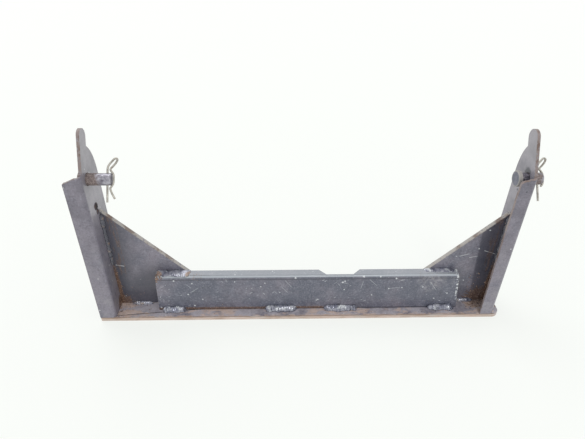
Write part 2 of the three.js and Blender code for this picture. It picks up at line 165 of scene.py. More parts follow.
class Wire:
    """One output socket. Sums on it add Math nodes."""

    def __init__(self, finish, socket):
        self.finish = finish
        self.socket = socket

    def maths(self, operation, first, second):
        return self.finish.node("Math", {"operation": operation}, {0: first, 1: second})

    def __add__(self, other):
        return self.maths("ADD", self, other)

    def __radd__(self, other):
        return self.maths("ADD", other, self)

    def __sub__(self, other):
        return self.maths("SUBTRACT", self, other)

    def __rsub__(self, other):
        return self.maths("SUBTRACT", other, self)

    def __mul__(self, other):
        return self.maths("MULTIPLY", self, other)

    def __rmul__(self, other):
        return self.maths("MULTIPLY", other, self)

    def __truediv__(self, other):
        return self.maths("DIVIDE", self, other)

    def __rtruediv__(self, other):
        return self.maths("DIVIDE", other, self)

    def __and__(self, other):
        return self.maths("MINIMUM", self, other)

    def __rand__(self, other):
        return self.maths("MINIMUM", other, self)

    def __or__(self, other):
        return self.maths("MAXIMUM", self, other)

    def __ror__(self, other):
        return self.maths("MAXIMUM", other, self)

    def beside(self, name):
        """Another output of the same node."""
        return Wire(self.finish, self.socket.node.outputs[name])

    def rise(self, low, high):
        """0 below low, 1 above high, and a smooth step between them."""
        return self.finish.node("MapRange", SMOOTH_STEP, {0: self, 1: low, 2: high})

    def fall(self, low, high):
        """1 below low, 0 above high."""
        turned_over = {0: self, 1: low, 2: high, 3: 1, 4: 0}
        return self.finish.node("MapRange", SMOOTH_STEP, turned_over)


print("sums on sockets ready")

# %% [markdown]
# ## One material at a time
#
# `Finish` is one material. It reads object coordinates, so that a pattern stays put on a piece
# that moves, and its `node` method makes any node. The rest are the marks that a worn surface
# is put together from: `grain` is noise, `flecks` are scattered spots, and `near` and `line` are
# marks at known places. They measure from a point or a stroke, and their edges can be ragged.

# %% Finish
COAT_ROUGHNESS = 0.22
SPOT_CORE = 0.45
STROKE_CORE = 0.4
FLECK_EDGE = 0.25
SHARE_EDGE = 0.02


class Finish:
    """One material, built from object coordinates in metres."""

    def __init__(self, name):
        self.material = bpy.data.materials.new(name)
        self.material.use_nodes = True
        self.tree = self.material.node_tree
        self.tree.nodes.clear()
        self.place = self.node("TexCoord", out="Object")
        self.x = self.node("SeparateXYZ", values={0: self.place})
        self.y = self.x.beside("Y")
        self.z = self.x.beside("Z")

    def node(self, kind, settings=None, values=None, out=0):
        made = self.tree.nodes.new("ShaderNode" + kind)
        for name, setting in (settings or {}).items():
            setattr(made, name, setting)
        for name, value in (values or {}).items():
            if isinstance(value, Wire):
                self.tree.links.new(value.socket, made.inputs[name])
            else:
                made.inputs[name].default_value = value
        return Wire(self, made.outputs[out])

    def vector(self, operation, values, out=0):
        return self.node("VectorMath", {"operation": operation}, values, out)

    def stretched(self, x, y, z):
        """The coordinates with each axis multiplied, which squeezes a pattern along it."""
        return self.vector("MULTIPLY", {0: self.place, 1: (x, y, z)})

    def grain(self, size, detail=3, roughness=0.55, where=None):
        """Noise from 0 to 1 with features of about this size in metres."""
        values = {
            "Vector": where or self.place,
            "Scale": 1 / size,
            "Detail": detail,
            "Roughness": roughness,
        }
        return self.node("TexNoise", None, values)

    def mix(self, first, second, factor):
        """Colour first where factor is 0 and second where it is 1."""
        values = {0: factor}
        for socket, color in ((6, first), (7, second)):
            values[socket] = color if isinstance(color, Wire) else (*color, 1)
        return self.node("Mix", {"data_type": "RGBA"}, values, out=2)

    def attribute(self, name):
        return self.node("Attribute", {"attribute_name": name}, out="Fac")

    def near(self, point, radius, ragged=0.0, size=0.006):
        """1 at a point and 0 beyond radius. The edge wanders by ragged times the radius."""
        distance = self.vector("DISTANCE", {0: self.place, 1: point}, out="Value")
        if ragged:
            distance = distance + (self.grain(size) - 0.5) * (2 * ragged * radius)
        return distance.fall(SPOT_CORE * radius, radius)

    def line(self, start, end, half_width, ragged=0.0, size=0.006):
        """1 along a straight stroke from start to end, and 0 beyond half_width from it."""
        run = Vector(end) - Vector(start)
        from_start = self.vector("SUBTRACT", {0: self.place, 1: start})
        along = self.vector("DOT_PRODUCT", {0: from_start, 1: run}, out="Value")
        settings = {"operation": "MULTIPLY", "use_clamp": True}
        share = self.node("Math", settings, {0: along, 1: 1 / run.length_squared})
        nearest = self.vector("SCALE", {0: run, "Scale": share})
        distance = self.vector("DISTANCE", {0: from_start, 1: nearest}, out="Value")
        if ragged:
            distance = distance + (self.grain(size) - 0.5) * (2 * ragged * half_width)
        return distance.fall(STROKE_CORE * half_width, half_width)

    def flecks(self, size, radius, share, where=None):
        """Small round spots of about this radius, in a random share of cells of this size."""
        cells = {"Vector": where or self.place, "Scale": 1 / size}
        distance = self.node("TexVoronoi", None, cells)
        draw = self.node("SeparateColor", None, {0: distance.beside("Color")})
        grown = draw.beside("Green") * (radius / size)
        spot = (grown - distance).rise(0, FLECK_EDGE * radius / size)
        return spot * draw.fall(share, share + SHARE_EDGE)

    def surface(
        self, color, roughness, metallic=0, bump=None, bump_depth=0.0, coat=0.0, glow=None
    ):
        """The Principled shader. A bump has a depth in metres, and a glow a colour and strength."""
        values = {"Roughness": roughness, "Metallic": metallic, "Coat Weight": coat}
        values["Base Color"] = color if isinstance(color, Wire) else (*color, 1)
        values["Coat Roughness"] = COAT_ROUGHNESS
        if glow:
            values["Emission Color"], values["Emission Strength"] = glow
        if bump:
            heights = {"Height": bump, "Distance": bump_depth, "Strength": 1.0}
            values["Normal"] = self.node("Bump", None, heights)
        shader = self.node("BsdfPrincipled", None, values)
        target = self.tree.nodes.new("ShaderNodeOutputMaterial")
        self.tree.links.new(shader.socket, target.inputs["Surface"])
        return self.material


print("marks for a finish:", [name for name in vars(Finish) if not name.startswith("_")])

# %% [markdown]
# ## Colours
#
# The paint is a dark slate blue with a violet cast where it is chalky. Under it is grey
# steel, and rust runs from a deep brown where it has sat for years to tan, pink and orange
# where it is fresh. All are linear values, darker than they look on screen, because the
# bright surround adds a veil of reflection to each.

# %% Colours
SLATE = (0.090, 0.097, 0.134)
SLATE_CHALKY = (0.200, 0.182, 0.222)
SLATE_DEEP = (0.042, 0.042, 0.060)
CHIP_GREY = (0.66, 0.68, 0.70)
CUT_STEEL = (0.36, 0.335, 0.31)
EDGE_BROWN = (0.225, 0.172, 0.158)
# The tone of the painted reflection that lightens the upper bracket webs.
WEB_REFLECTION = (0.345, 0.325, 0.36)
RUST_BROWN = (0.105, 0.055, 0.036)
RUST_TAN = (0.42, 0.29, 0.215)
RUST_PINK = (0.60, 0.46, 0.40)
RUST_ORANGE = (0.46, 0.20, 0.075)
DUST = (0.34, 0.325, 0.335)
# The tone of the painted highlight and painted reflection on the crossbar's bend and lip.
LIP_SHEEN_BLUE = (0.36, 0.39, 0.43)
PAINT_HAZE = (0.30, 0.295, 0.35)
print("slate from deep to chalky:", SLATE_DEEP, SLATE, SLATE_CHALKY)

# %% [markdown]
# ## Floor
#
# Small products are often shown on a lit table, which leaves only a trace of shadow. A
# matte plane that glows does the same: its glow sets the tone, and its own colour is dark, so
# that a shadow takes little light away.

# %% Floor
FLOOR_SIZE = 12
FLOOR_DARKER = 0.97
FLOOR_PATCH = 0.5
FLOOR_ROUGHNESS = 0.9


def lay_floor():
    work = bmesh.new()
    bmesh.ops.create_grid(work, x_segments=1, y_segments=1, size=FLOOR_SIZE / 2)
    mesh = bpy.data.meshes.new("floor")
    work.to_mesh(mesh)
    work.free()
    floor = bpy.data.objects.new("floor", mesh)
    bpy.context.scene.collection.objects.link(floor)
    lit = Finish("lit_table")
    darker = tuple(FLOOR_DARKER * v for v in FLOOR_COLOR)
    tone = lit.mix(FLOOR_COLOR, darker, lit.grain(FLOOR_PATCH))
    glow = ((*FLOOR_GLOW, 1), FLOOR_GLOW_STRENGTH)
    mesh.materials.append(lit.surface(tone, FLOOR_ROUGHNESS, glow=glow))


lay_floor()
print("floor laid")

# %% [markdown]
# ## Rounding an edge
#
# A sawn or torched edge is never sharp, and its small round is what catches the light. The
# meshes that come in are loose triangles, so a copy is first merged into whole faces, and
# then every sharp edge gets a two-step bevel. The copy also gets a vertex value called
# `wear`, which starts at 0. It is made first of all, because adding a layer makes every
# vertex and face that a script already holds invalid.

# %% Rounding
MERGE = 1e-6
FLAT = math.radians(0.4)
SHARP = math.radians(28)


def merged_copy(node):
    """A CAD mesh as a bmesh with its triangles joined into faces, and its wear layer."""
    work = bmesh.new()
    layer = work.verts.layers.float.new("wear")
    work.from_mesh(frame["nodes"][node].data)
    bmesh.ops.remove_doubles(work, verts=work.verts, dist=MERGE)
    bmesh.ops.dissolve_limit(work, angle_limit=FLAT, verts=work.verts, edges=work.edges)
    return work, layer


def round_edges(work, radius):
    """Bevels every sharp edge, and returns the round faces that this makes."""
    sharp = [e for e in work.edges if len(e.link_faces) == 2 and e.calc_face_angle() > SHARP]
    rounded = bmesh.ops.bevel(
        work,
        geom=sharp,
        offset=radius,
        affect="EDGES",
        segments=2,
        profile=0.5,
        material=-1,
        clamp_overlap=True,
    )
    return rounded["faces"]


def publish(work, name, material, body, slot, *nodes):
    """Turns a bmesh into a piece that rides on a body and stands for CAD nodes."""
    mesh = bpy.data.meshes.new(name)
    work.to_mesh(mesh)
    work.free()
    piece = bpy.data.objects.new(name, mesh)
    bpy.context.scene.collection.objects.link(piece)
    mesh.materials.append(material)
    even = piece.modifiers.new("even_normals", "WEIGHTED_NORMAL")
    even.keep_sharp = True
    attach(piece, body)
    if nodes:
        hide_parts(*nodes)
    print(name, "has", len(mesh.polygons), "faces")
    return piece


print("edges sharper than", round(math.degrees(SHARP)), "degrees are rounded")

# %% [markdown]
# ## Marking where a plate wears
#
# Paint wears off from the edges inwards. A shader can't see how far a point is from an edge,
# so the mesh tells it: each broad face gets a narrow inset rim, and `wear` is 1 on the rim's
# outside and 0 inside. Narrow faces are the cut edges themselves, and stay at 1. The
# weighted-normal modifier that every piece gets then keeps the broad faces flat to the light.

# %% Plates
EDGE_ROUND = 0.7 * MM
WEAR_BAND = 2.4 * MM
BROAD = 3 * WEAR_BAND


def joined_faces(faces):
    """Groups of faces that meet without a sharp edge."""
    left = set(faces)
    groups = []
    while left:
        group = [left.pop()]
        for face in group:
            for edge in face.edges:
                flat = len(edge.link_faces) == 2 and edge.calc_face_angle() < SHARP
                nearby = [f for f in edge.link_faces if f in left] if flat else []
                group.extend(nearby)
                left.difference_update(nearby)
        groups.append(group)
    return groups


def outline(group):
    """How long the boundary of a group of faces is."""
    inside = set(group)
    edges = {edge for face in group for edge in face.edges}
    return sum(e.calc_length() for e in edges if sum(f in inside for f in e.link_faces) == 1)


def finish_plate(node, name, material):
    """A copy of a CAD plate with rounded edges, worn rims and its own paint."""
    work, layer = merged_copy(node)
    round_faces = set(round_edges(work, EDGE_ROUND))
    broad = []
    for group in joined_faces(f for f in work.faces if f not in round_faces):
        width = 2 * sum(f.calc_area() for f in group) / max(outline(group), MM)
        if width > BROAD:
            broad.append(group)
    inner = set()
    for group in broad:
        bmesh.ops.inset_region(
            work, faces=group, thickness=WEAR_BAND, use_boundary=True, use_even_offset=False
        )
        inner.update(v for face in group for v in face.verts)
    for vert in work.verts:
        vert[layer] = 0.0 if vert in inner else 1.0
    for face in work.faces:
        face.smooth = True
    return publish(work, name, material, "frame", "paint", node)


print("worn rims are", round(WEAR_BAND / MM, 1), "mm wide")

# %% [markdown]
# ## Slate paint
#
# Every plate wears the same paint, so one function mixes it: chalky and deep patches, fine
# dust, hair scratches, small chips, worn edges and rust, and where a plate asks for it a
# painted sheen: painted highlights and painted reflections. What differs from plate to plate
# is how much of each it has and where, so those arrive as masks and amounts. Scratches are thin
# bands of a noise that is stretched about fifty times longer than it is wide, and only where
# a second, broad noise lets them through. The soft edge of any mask can be broken into flakes.

# %% Paint
PAINT_COAT = 0.45
PAINT_BUMP = 0.3 * MM
ROUGHEST = 0.95
HAIR_STRETCH = (9, 420, 420)
HAIR_TURNS = ((0.2, 0.5, 0.3), (-0.3, -0.9, 0.1))


def hair_scratches(finish, turn, share):
    """Thin, nearly straight hairlines in one direction, in some patches only."""
    turned = finish.node(
        "Mapping", {"vector_type": "POINT"}, {"Vector": finish.place, "Rotation": turn}
    )
    long_way = finish.vector("MULTIPLY", {0: turned, 1: HAIR_STRETCH})
    streak = finish.node("TexNoise", None, {"Vector": long_way, "Scale": 1.0, "Detail": 1.0})
    patches = finish.grain(0.035, detail=2)
    return streak.rise(0.70, 0.76) * patches.rise(1 - share, 1 - share + 0.12)


def slate_paint(
    finish, chalk=0.5, dark=None, chips=None, rust=None, pale=None, scratches=0.5,
    edge_tone=CUT_STEEL, edge_share=0.75, gloss=0.36, painted_sheen=None, sheen_tone=WEB_REFLECTION,
):
    """Worn slate paint. dark, chips, rust, pale and haze are masks."""
    mottle = finish.grain(0.05, detail=6, roughness=0.66)
    fine = finish.grain(0.0032, detail=4, roughness=0.75)
    color = finish.mix(SLATE, SLATE_CHALKY, (mottle + (chalk - 0.5)).rise(0.3, 0.68))
    blotches = finish.grain(0.011, detail=5, roughness=0.7)
    color = finish.mix(color, PAINT_HAZE, blotches.rise(0.50, 0.72) * 0.30)
    color = finish.mix(color, SLATE_DEEP, blotches.fall(0.30, 0.46) * 0.38)
    color = finish.mix(color, PAINT_HAZE, fine.rise(0.50, 0.74) * 0.60)
    color = finish.mix(color, SLATE_DEEP, fine.fall(0.28, 0.48) * 0.60)
    # Painted highlights and painted reflections, in their own tone, where the mask asks for them.
    if painted_sheen:
        color = finish.mix(color, sheen_tone, painted_sheen)
    if dark:
        color = finish.mix(color, SLATE_DEEP, dark)
    if pale:
        color = finish.mix(color, DUST, pale)
    hair = hair_scratches(finish, HAIR_TURNS[0], scratches)
    hair = hair | hair_scratches(finish, HAIR_TURNS[1], scratches * 0.8)
    color = finish.mix(color, CHIP_GREY, hair * 0.45)
    spots = finish.flecks(0.012, 0.0016, 0.30)
    if chips:
        spots = spots | chips
    color = finish.mix(color, CHIP_GREY, spots * 0.85)

    wear = finish.attribute("wear")
    ragged = finish.grain(0.005, detail=4, roughness=0.65)
    bare = (wear + (ragged - 0.5) * 1.1).rise(1.02 - 0.3 * edge_share, 1.12 - 0.25 * edge_share)
    edge_rust = bare * finish.grain(0.02, detail=4).rise(0.5, 0.62)
    color = finish.mix(color, edge_tone, bare * 0.85)
    color = finish.mix(color, RUST_BROWN, edge_rust * 0.7)

    rough = gloss + 0.16 * mottle + 0.25 * bare
    height = 0.12 * fine + 0.1 * mottle - 0.5 * spots - 0.3 * bare - 0.2 * hair
    if rust:
        crust = finish.grain(0.0022, detail=5, roughness=0.75)
        tone = finish.mix(RUST_BROWN, RUST_TAN, crust.rise(0.46, 0.72))
        color = finish.mix(color, tone, rust)
        rough = rough + rust * (0.85 - gloss)
        height = height + rust * crust * 1.2
    return finish.surface(
        color, rough & ROUGHEST, bump=height, bump_depth=PAINT_BUMP, coat=PAINT_COAT
    )


def ragged_patch(finish, mask, size=0.008, bite=0.5):
    """Breaks the soft edge of a mask into flakes."""
    flakes = (finish.grain(size, detail=5, roughness=0.7) - 0.5) * bite * 2
    return (mask + flakes).rise(0.45, 0.62)


print("slate paint is mixed, with a clear coat of", PAINT_COAT)

# %% [markdown]
# ## Brackets
#
# Each bracket is one plate with a bend up its front corner. Handling has chalked the lower
# part, and the finger is worn pale where attachments ride over it. In between the paint is
# darker in patches. Higher up, behind the bend, the webs are painted lighter: a painted
# reflection of the bright surround. Rust has settled at the foot. The left one also has a burn
# pit where a weld was struck and stopped, just above its gusset. The dark spots are marks at
# known places, so they use `near`.

# %% Brackets
FINGER_START = base_top + 290 * MM


def bracket_paint(name, pits):
    """pits are dark spots as (point, radius)."""
    finish = Finish(name)
    finger = finish.z.rise(FINGER_START - 0.012, FINGER_START + 0.03)
    low = finish.z.fall(0.06, 0.24)
    dark = (1 - low) * 0.35 * finish.grain(0.03, detail=4).rise(0.35, 0.65)
    for point, radius in pits:
        dark = dark | finish.near(point, radius, ragged=0.25)
    # The upper webs behind the bend are painted lighter: a painted reflection of the surround.
    painted_sheen = finish.z.rise(base_top + 0.16, base_top + 0.22)
    painted_sheen = painted_sheen * finish.y.rise(front + 0.004, front + 0.008)
    pale = finger * 0.25 + low * finish.grain(0.02, detail=5).rise(0.45, 0.7) * 0.30
    corner = finish.z.fall(base_top, base_top + 0.045) * finish.y.rise(-0.03, -0.005)
    rust = ragged_patch(finish, corner * 0.9)
    spots = finish.flecks(0.03, 0.0028, 0.35) * finger
    rust = rust | ragged_patch(finish, spots, size=0.003)
    return slate_paint(
        finish, chalk=0.62, dark=dark, rust=rust, pale=pale, scratches=0.35, painted_sheen=painted_sheen * 0.5,
        edge_tone=EDGE_BROWN, edge_share=0.62,
    )


PIT_POINT = (left_web, -7 * MM, base_top + 219 * MM)
left_pits = [(PIT_POINT, 9 * MM)]
right_flange_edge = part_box("right_bracket")[0].x
right_pits = [
    ((right_web, 3.6 * MM, base_top + 242 * MM), 2.6 * MM),
    ((right_web, -10 * MM, base_top + 280 * MM), 13 * MM),
    ((right_flange_edge + 0.012, front, base_top + 262 * MM), 2 * MM),
]
for side, pits in (("left", left_pits), ("right", right_pits)):
    paint = bracket_paint(side + "_bracket_paint", pits)
    finish_plate(side + "_bracket", side + "_bracket_plate", paint)

# %% [markdown]
# ## Gussets
#
# The gussets stand in the corners, so they gather dirt: rust runs down beside each bracket
# and pools where the gusset meets the base. The left one is painted darker towards its web, its
# foot and the end of the crossbar, as painted shade. The right one is darker next to its
# bracket, with a straight edge to the dark part, which is a painted reflection of the dark
# bracket in its glossy face. Its foot is painted a little darker as shade, and it carries a
# few long pale scratches.

# %% Gussets
def gusset_paint(name, web, side, dark, scratches, rust_reach, rust_foot):
    """side is 1 where the gusset runs towards +X from its web, and -1 where it runs back."""
    finish = Finish(name)
    from_web = (finish.x - web) * side
    run_down = from_web.rise(0.004, 0.012) * from_web.fall(0.014, 0.030)
    run_down = run_down * finish.z.rise(0.055, 0.09)
    streaks = finish.grain(0.005, detail=5, where=finish.stretched(1, 1, 0.16))
    run_down = run_down * streaks.rise(0.42, 0.58)
    foot = finish.z.fall(base_top + 0.1 * rust_foot, base_top + 1.3 * rust_foot)
    foot = foot * from_web.fall(0.1 * rust_reach, 1.4 * rust_reach)
    rust = ragged_patch(finish, run_down, size=0.0025, bite=0.5) * 0.45
    climb = from_web.fall(0.001, 0.013) * finish.z.fall(0.05, 0.15)
    rust = rust | ragged_patch(finish, climb, size=0.0022, bite=0.75)
    rust = rust | ragged_patch(finish, foot, size=0.0035, bite=0.85) * 0.8
    marks = None
    for start, end, width in scratches:
        stroke = finish.line(start, end, width * MM, ragged=0.3, size=0.004)
        marks = stroke if marks is None else marks | stroke
    return slate_paint(
        finish, chalk=0.52, dark=dark(finish), chips=marks, rust=rust, scratches=0.4
    )


def left_gusset_shade(finish):
    beside_bar = finish.near((bar_low.x, gusset_face, 0.03), 0.09) * 0.75
    beside_web = (finish.x - left_web).fall(0.004, 0.060) * 0.85
    return beside_web | finish.z.fall(0.02, 0.09) * 0.5 | beside_bar


# A painted reflection of the dark bracket, with a straight edge, and painted shade at the foot.
def right_gusset_reflection_and_shade(finish):
    edge = finish.x + finish.z * 0.06
    return edge.rise(0.3085, 0.3125) * 0.62 | finish.z.fall(0.015, 0.06) * 0.3


left_scratches = [
    ((left_web + 0.006, gusset_face, 0.10), (left_web + 0.020, gusset_face, 0.097), 0.8),
]
right_scratches = [
    ((right_web - 0.026, gusset_face, 0.1263), (right_web - 0.004, gusset_face, 0.1185), 0.7),
    ((right_web - 0.068, gusset_face, 0.1145), (right_web - 0.052, gusset_face, 0.1196), 0.55),
    ((right_web - 0.050, gusset_face, 0.1109), (right_web - 0.036, gusset_face, 0.1143), 0.55),
]
finish_plate(
    "left_gusset",
    "left_gusset_plate",
    gusset_paint("left_gusset_paint", left_web, 1, left_gusset_shade, left_scratches, 0.03, 0.03),
)
finish_plate(
    "right_gusset",
    "right_gusset_plate",
    gusset_paint(
        "right_gusset_paint", right_web, -1, right_gusset_reflection_and_shade, right_scratches, 0.055, 0.05
    ),
)

# %% [markdown]
# ## Crossbar
#
# The crossbar takes the knocks. Its broad face is peppered with small white chips, some of
# them with short scratches that run away from them, and its right end has lost its paint in
# a row of flakes. A painted highlight runs along the bend, with a band of painted shade just
# below it, and the lip is painted a lighter blue grey as a painted reflection of the surround.

# %% Marks on the crossbar
# Each chip is its x, z and radius, and each stroke its two ends as x, z, all in mm.
BAR_CHIPS = [
    (-22, 82, 2.4), (100, 84, 2.8), (159, 79, 2.2), (63, 71, 2.2), (148, 55, 1.8),
    (172, 57, 1.8), (-84, 62, 1.6), (-215, 45, 1.8), (-190, 33, 1.5), (20, 30, 1.6),
    (210, 58, 1.7), (-130, 74, 1.5), (-50, 48, 1.4), (118, 40, 1.6), (235, 30, 1.5),
]
BAR_STROKES = [
    ((148, 55), (168, 58)), ((63, 71), (72, 67)), ((100, 72), (97, 56)),
    ((-40, 76), (-28, 60)), ((-46, 60), (-36, 48)), ((112, 76), (126, 62)),
    ((222, 70), (236, 50)), ((-210, 50), (-196, 60)),
]


def bar_point(x, z):
    """A point on the crossbar's broad face."""
    return (x * MM, bar_low.y, z * MM)


print("crossbar marks:", len(BAR_CHIPS), "chips and", len(BAR_STROKES), "strokes")

# %% Crossbar
LEFT_TIP = (-0.196, bar_low.y + 0.004, bar_high.z)
RIGHT_TIP = (0.203, bar_low.y + 0.004, bar_high.z)
LEFT_CORNER = (-0.269, bar_low.y, bar_high.z)


def crossbar_paint():
    finish = Finish("crossbar_paint")
    chips = finish.flecks(0.0068, 0.0011, 0.55) | finish.flecks(0.016, 0.0022, 0.42)
    chips = ragged_patch(finish, chips, size=0.0018, bite=0.5)
    for x, z, radius in BAR_CHIPS:
        chips = chips | finish.near(bar_point(x, z), radius * MM, ragged=0.6, size=0.003)
    for start, end in BAR_STROKES:
        stroke = finish.line(bar_point(*start), bar_point(*end), 0.6 * MM)
        chips = chips | stroke * 0.45
    leaning = finish.x + (finish.z - bar_low.z) * 0.115
    right_end = leaning.rise(bar_high.x - 0.0042, bar_high.x - 0.0034)
    flakes = finish.grain(0.0048, detail=3).rise(0.47, 0.53) * finish.z.rise(0.018, 0.045)
    chips = chips | right_end * flakes
    # A painted highlight along the bend, and the lip painted lighter as a painted reflection.
    bend_highlight = finish.z.rise(bar_high.z - 0.0035, bar_high.z - 0.0022)
    bend_highlight = bend_highlight * finish.z.fall(bar_high.z - 0.0006, bar_high.z)
    lip_sheen = finish.z.rise(bar_high.z - 0.0012, bar_high.z - 0.0004)
    # A band of painted shade just below the bend.
    painted_shade_under_bend = finish.z.rise(bar_high.z - 0.0090, bar_high.z - 0.0072)
    painted_shade_under_bend = painted_shade_under_bend * finish.z.fall(bar_high.z - 0.0064, bar_high.z - 0.005)
    rubbed = finish.x.rise(0.14, 0.20) * finish.z.rise(0.055, 0.078)
    rubbed = rubbed * finish.grain(0.009, detail=5, roughness=0.7).rise(0.5, 0.68)
    abraded = finish.near(bar_point(226, 72), 30 * MM, ragged=0.5, size=0.02)
    abraded = abraded * finish.grain(0.006, detail=5, roughness=0.75).rise(0.44, 0.62)
    pale = lip_sheen * 0.15 | rubbed * 0.35 | abraded * 0.5
    tips = finish.near(LEFT_TIP, 0.017, ragged=0.7, size=0.004)
    tips = tips | finish.near(RIGHT_TIP, 0.009, ragged=0.7, size=0.004)
    left_end = finish.near(LEFT_CORNER, 0.017, ragged=0.7, size=0.004)
    rust = ragged_patch(finish, tips * 0.35 | left_end * 0.6, size=0.0022, bite=0.9)
    gap = finish.z.fall(base_top + 0.0009, base_top + 0.0022)
    specks = finish.z.fall(base_top + 0.002, base_top + 0.009) * finish.x.fall(0.02, 0.05)
    rust = rust | ragged_patch(finish, specks, size=0.0018, bite=0.9) * 0.8
    return slate_paint(
        finish, chalk=0.40, dark=painted_shade_under_bend * 0.75 | gap * 0.9, chips=chips, rust=rust, pale=pale,
        scratches=0.6, gloss=0.28, painted_sheen=bend_highlight * 0.85 | lip_sheen * 0.55,
        sheen_tone=LIP_SHEEN_BLUE, edge_share=0.45,
    )


finish_plate("crossbar", "crossbar_plate", crossbar_paint())

# %% [markdown]
# ## Base bar
#
# The base bar lies on the ground, so it has rusted most. Its front edge is bare and has
# weathered into thin level layers, which a noise drawn out along the bar gives. On top,
# violet paint survives in islands between tan and brown patches, and a dark line of dirt
# runs in the gap under the crossbar.

# %% Base bar
EDGE_STEEL = (0.54, 0.46, 0.42)
BASE_VIOLET = (0.44, 0.41, 0.46)
BASE_TAN = (0.50, 0.37, 0.30)
BASE_BUMP = 0.35 * MM
BASE_COAT = 0.25


def base_paint():
    finish = Finish("base_paint")
    drawn_out = finish.stretched(0.03, 0.03, 1)
    layers = finish.grain(0.0011, detail=4, roughness=0.6, where=drawn_out)
    edge = finish.y.fall(front + 0.0006, front + 0.0014)
    lengthened = finish.stretched(0.55, 1, 1)
    islands = finish.grain(0.020, detail=6, roughness=0.66, where=lengthened)
    top = islands.rise(0.50, 0.60)
    right_corner = finish.x.rise(0.285, 0.325) * finish.y.rise(-0.03, -0.012)
    left_corner = finish.x.fall(-0.345, -0.31) * 0.5
    rim = finish.y.fall(front + 0.001, front + 0.006)
    rim = rim * finish.grain(0.012, detail=4).rise(0.4, 0.6)
    dark_rust = ragged_patch(finish, right_corner | left_corner, size=0.005, bite=0.8)
    bare = (top * 0.8) | rim | edge
    mottle = finish.grain(0.03, detail=5, roughness=0.65)
    fine = finish.grain(0.003, detail=4, roughness=0.75)
    paint = finish.mix(SLATE_CHALKY, BASE_VIOLET, mottle.rise(0.35, 0.6))
    paint = finish.mix(paint, SLATE_DEEP, fine.fall(0.30, 0.46) * 0.5)
    paint = finish.mix(paint, DUST, fine.rise(0.45, 0.7) * 0.6)
    patches = finish.grain(0.008, detail=5, roughness=0.7)
    tan = finish.mix(RUST_PINK, BASE_TAN, patches.rise(0.4, 0.6))
    tan = finish.mix(tan, BASE_VIOLET, fine.fall(0.35, 0.5) * 0.5)
    tan = finish.mix(tan, RUST_ORANGE, finish.grain(0.024, detail=4).rise(0.6, 0.74) * 0.35)
    brown = finish.mix(RUST_BROWN, BASE_TAN, fine.rise(0.40, 0.62))
    color = finish.mix(paint, tan, bare)
    color = finish.mix(color, brown, dark_rust * 0.7)
    specks = finish.flecks(0.0055, 0.0010, 0.55)
    specks = specks * finish.y.fall(front + 0.006, front + 0.018)
    color = finish.mix(color, CHIP_GREY, specks * 0.9)
    gap = finish.y.rise(bar_low.y - 0.0016, bar_low.y - 0.0004)
    gap = gap * finish.x.rise(bar_low.x, bar_low.x + 0.002)
    gap = gap * finish.x.fall(bar_high.x - 0.002, bar_high.x)
    gap = gap * finish.y.fall(bar_low.y, bar_low.y + 0.001)
    color = finish.mix(color, SLATE_DEEP, gap * 0.8)
    strip = finish.mix(EDGE_STEEL, RUST_TAN, layers.rise(0.42, 0.56) * 0.9)
    strip = finish.mix(strip, RUST_PINK, finish.grain(0.03, detail=4).rise(0.4, 0.6) * 0.6)
    strip = finish.mix(strip, RUST_BROWN, layers.rise(0.58, 0.68) * 0.6)
    upper_line = finish.z.rise(base_top - 0.0022, base_top - 0.0012)
    strip = finish.mix(strip, RUST_BROWN, upper_line * 0.55)
    strip = finish.mix(strip, CHIP_GREY, layers.fall(0.32, 0.44) * 0.6)
    color = finish.mix(color, strip, edge)
    rust = bare | dark_rust
    rough = 0.36 + 0.35 * rust
    height = fine * rust * 0.7 + layers * edge * 1.0 + 0.1 * mottle
    return finish.surface(
        color, rough & ROUGHEST, bump=height, bump_depth=BASE_BUMP, coat=BASE_COAT
    )


finish_plate("base_plate", "base_bar", base_paint())

# %% [markdown]
# ## Weld beads
#
# A welder lays a bead as a row of overlapping puddles. Each puddle froze with a curved rim,
# so the bead has ripples like a stack of coins, and its width wanders with the hand. The
# bead starts as one fan-shaped face, a fillet section in its corner. That face is extruded
# step by step along the joint, and each step is scaled about the corner: up and down within
# every ripple, wider and narrower over a few ripples, and to a rounded stop at both ends.
# The middle of the face trails behind, which bends the ripples into crescents.
#
# This way has a price: the face that each step starts from stays inside the bead, as a thin
# wall, and with the walls in place not every face ends up pointing outwards. Deleting that
# face after each step ought to leave a clean skin.

# %% The shape of a bead
RIPPLE = 3.4 * MM
RIPPLE_RISE = 0.07
RIPPLE_BASE = 0.03
WANDER = 0.34
WANDER_LENGTH = 0.008
STOP_LENGTH = 2.2 * RIPPLE
STOP_SIZE = 0.10
BEAD_FULL = 0.96
BEAD_STEP = 0.85 * MM
BEAD_FACE_POINTS = 9
BEAD_BULGE = 0.32
BEAD_TRAIL = 0.35
LUMP_HEIGHT = 0.25
SWELL_HEIGHT = 0.9
NO_AREA = 1e-12


def bead_size(travelled, length, seed):
    """How large the section is at this distance from the start, as a share of the full leg."""
    phase = (travelled / RIPPLE) % 1
    ripple = RIPPLE_RISE * math.sin(math.pi * phase) - RIPPLE_BASE
    wander = WANDER * noise.noise(Vector((travelled / WANDER_LENGTH, seed, 0.3)))
    ends = min(travelled, length - travelled) / STOP_LENGTH
    stop = math.sqrt(max(STOP_SIZE, 1 - (1 - min(ends, 1)) ** 2))
    return (BEAD_FULL + ripple + wander) * stop


